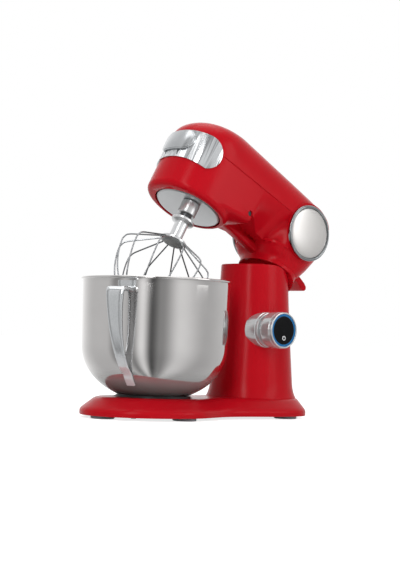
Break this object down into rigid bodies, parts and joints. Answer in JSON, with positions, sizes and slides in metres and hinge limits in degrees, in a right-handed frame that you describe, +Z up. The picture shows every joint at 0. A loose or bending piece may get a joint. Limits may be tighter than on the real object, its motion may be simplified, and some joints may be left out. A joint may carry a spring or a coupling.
{
  "type": "tilt-head stand mixer",
  "caption": "Tilt-head stand mixer, head raised: cast pedestal, geared head with round planetary cover, wire whisk, steel bowl with strap handle, speed dial.",
  "frame": {"origin": "on the counter under the middle of the mixer's bounding box, head tilted open", "axes": "-X towards the nose and bowl, -Y towards the speed dial's side, +Z up"},
  "size_m": [0.465, 0.2196, 0.436],
  "materials": {
    "red_enamel": "gloss red powder enamel over cast aluminium",
    "polished_chrome": "polished",
    "brushed_hub_cover": "satin brushed",
    "silver_cap": "bright satin anodised",
    "satin_aluminium": "satin",
    "bowl_steel": "fine brushed stainless steel",
    "handle_steel": "polished stainless steel",
    "foot_ring_steel": "satin, in shadow",
    "seat_steel": "satin",
    "whisk_steel": "polished wire",
    "whisk_fitting": "satin",
    "hardened_steel": "ground",
    "zinc_screw": "zinc plated",
    "dark_screw": "blackened",
    "gear_steel": "oiled steel",
    "cast_case": "as cast",
    "bush_bronze": "oiled bronze",
    "motor_steel": "drawn steel",
    "motor_windings": "lacquered copper and laminations",
    "drive_plastic": "moulded",
    "pulley_metal": "turned",
    "belt_rubber": "ribbed",
    "foot_rubber": "moulded",
    "base_plastic": "moulded",
    "board_green": "lacquered board",
    "encoder_grey": "moulded",
    "display_glass": "black glass",
    "light_blue": "clear light guide",
    "gland_black": "moulded",
    "spring_steel": "spring wire"
  },
  "bodies": {
    "stand": {"pedestal": "red_enamel", "base_cover": "base_plastic", "feet": "foot_rubber", "base_screws": "zinc_screw", "bowl_seat": "seat_steel", "seat_screws": "zinc_screw", "hinge_pin": "hardened_steel", "hinge_plug": "red_enamel", "latch_strike": "hardened_steel", "control_board": "board_green", "dial_encoder": "encoder_grey", "dial_mount": "drive_plastic", "display_glass": "display_glass", "light_ring": "light_blue", "cord_gland": "gland_black"},
    "dial": {"speed_dial": "polished_chrome"},
    "bowl": {"bowl": "bowl_steel", "bowl_foot_ring": "foot_ring_steel", "bowl_handle": "handle_steel"},
    "head": {"head_housing": "red_enamel", "head_top_cover": "red_enamel", "nose_band": "polished_chrome", "side_cap_left": "silver_cap", "side_cap_right": "silver_cap", "cap_ring_left": "polished_chrome", "cap_ring_right": "polished_chrome", "head_screws": "dark_screw", "hinge_bushes": "bush_bronze", "gear_case": "cast_case", "gear_case_lid": "cast_case", "ring_gear": "gear_steel", "drive_belt": "belt_rubber", "motor_can": "motor_steel", "motor_bracket": "cast_case", "hub_socket": "cast_case", "lever_pin": "hardened_steel", "lever_spring": "spring_steel"},
    "hub_drive": {"hub_drive": "hardened_steel"},
    "hub_cover": {"hub_cover": "brushed_hub_cover"},
    "rotor": {"motor_rotor": "motor_windings", "motor_fan": "drive_plastic", "motor_pulley": "pulley_metal"},
    "intermediate": {"drive_pulley": "drive_plastic", "pinion_shaft": "hardened_steel"},
    "carrier": {"main_gear": "gear_steel", "carrier_shaft": "hardened_steel", "planetary_cover": "satin_aluminium"},
    "planet": {"planet_gear": "gear_steel", "beater_shaft": "satin_aluminium", "shaft_pin": "hardened_steel", "shaft_spring": "spring_steel"},
    "whisk": {"whisk_collar": "whisk_fitting", "whisk_plate": "whisk_fitting", "whisk_wires": "whisk_steel"},
    "lever": {"release_lever": "red_enamel"}
  },
  "joints": [
    {"name": "head_tilt", "type": "hinge", "parent": "stand", "child": "head", "pos_m": [0.087, 0, 0.163], "axis": [0, 1, 0], "range_deg": [-29, 0]},
    {"name": "dial_turn", "type": "hinge", "parent": "stand", "child": "dial", "pos_m": [0.076, -0.076, 0.132], "axis": [0, -1, 0], "continuous": true},
    {"name": "bowl_twist", "type": "hinge", "parent": "stand", "child": "bowl", "pos_m": [-0.096, 0, 0.03], "axis": [0, 0, 1], "range_deg": [-45, 0]},
    {"name": "carrier_spin", "type": "hinge", "parent": "head", "child": "carrier", "pos_m": [-0.027, 0, 0.33481], "axis": [0.4848, 0, 0.8746], "continuous": true},
    {"name": "planet_spin", "type": "hinge", "parent": "carrier", "child": "planet", "pos_m": [-0.04234, -0.02079, 0.33188], "axis": [0.4848, 0, 0.8746], "continuous": true},
    {"name": "pinion_spin", "type": "hinge", "parent": "head", "child": "intermediate", "pos_m": [0.02586, 0, 0.31466], "axis": [0.4848, 0, 0.8746], "continuous": true},
    {"name": "rotor_spin", "type": "hinge", "parent": "head", "child": "rotor", "pos_m": [0.15, 0, 0.30759], "axis": [0.4848, 0, 0.8746], "continuous": true},
    {"name": "hub_drive_spin", "type": "hinge", "parent": "head", "child": "hub_drive", "pos_m": [-0.04162, 0, 0.39093], "axis": [-0.8746, 0, 0.4848], "continuous": true},
    {"name": "whisk_push", "type": "slide", "parent": "planet", "child": "whisk", "axis": [0.4848, 0, 0.8746], "range_m": [0, 0.005], "stiffness_N_per_m": 600, "springref_m": -0.005, "deforming": ["shaft_spring"]},
    {"name": "hub_cover_pull", "type": "slide", "parent": "head", "child": "hub_cover", "axis": [-0.8746, 0, 0.4848], "range_m": [0, 0.04]},
    {"name": "lever_press", "type": "hinge", "parent": "head", "child": "lever", "pos_m": [0.16727, 0, 0.21912], "axis": [0, 1, 0], "range_deg": [0, 12], "stiffness_Nm_per_rad": 0.6, "springref_deg": -8.59, "deforming": ["lever_spring"]}
  ],
  "couplings": [
    {"joint": "planet_spin", "follows": "carrier_spin", "ratio": -3},
    {"joint": "pinion_spin", "follows": "carrier_spin", "ratio": -3.6667},
    {"joint": "rotor_spin", "follows": "carrier_spin", "ratio": -14.667},
    {"joint": "hub_drive_spin", "follows": "carrier_spin", "ratio": 1}
  ]
}
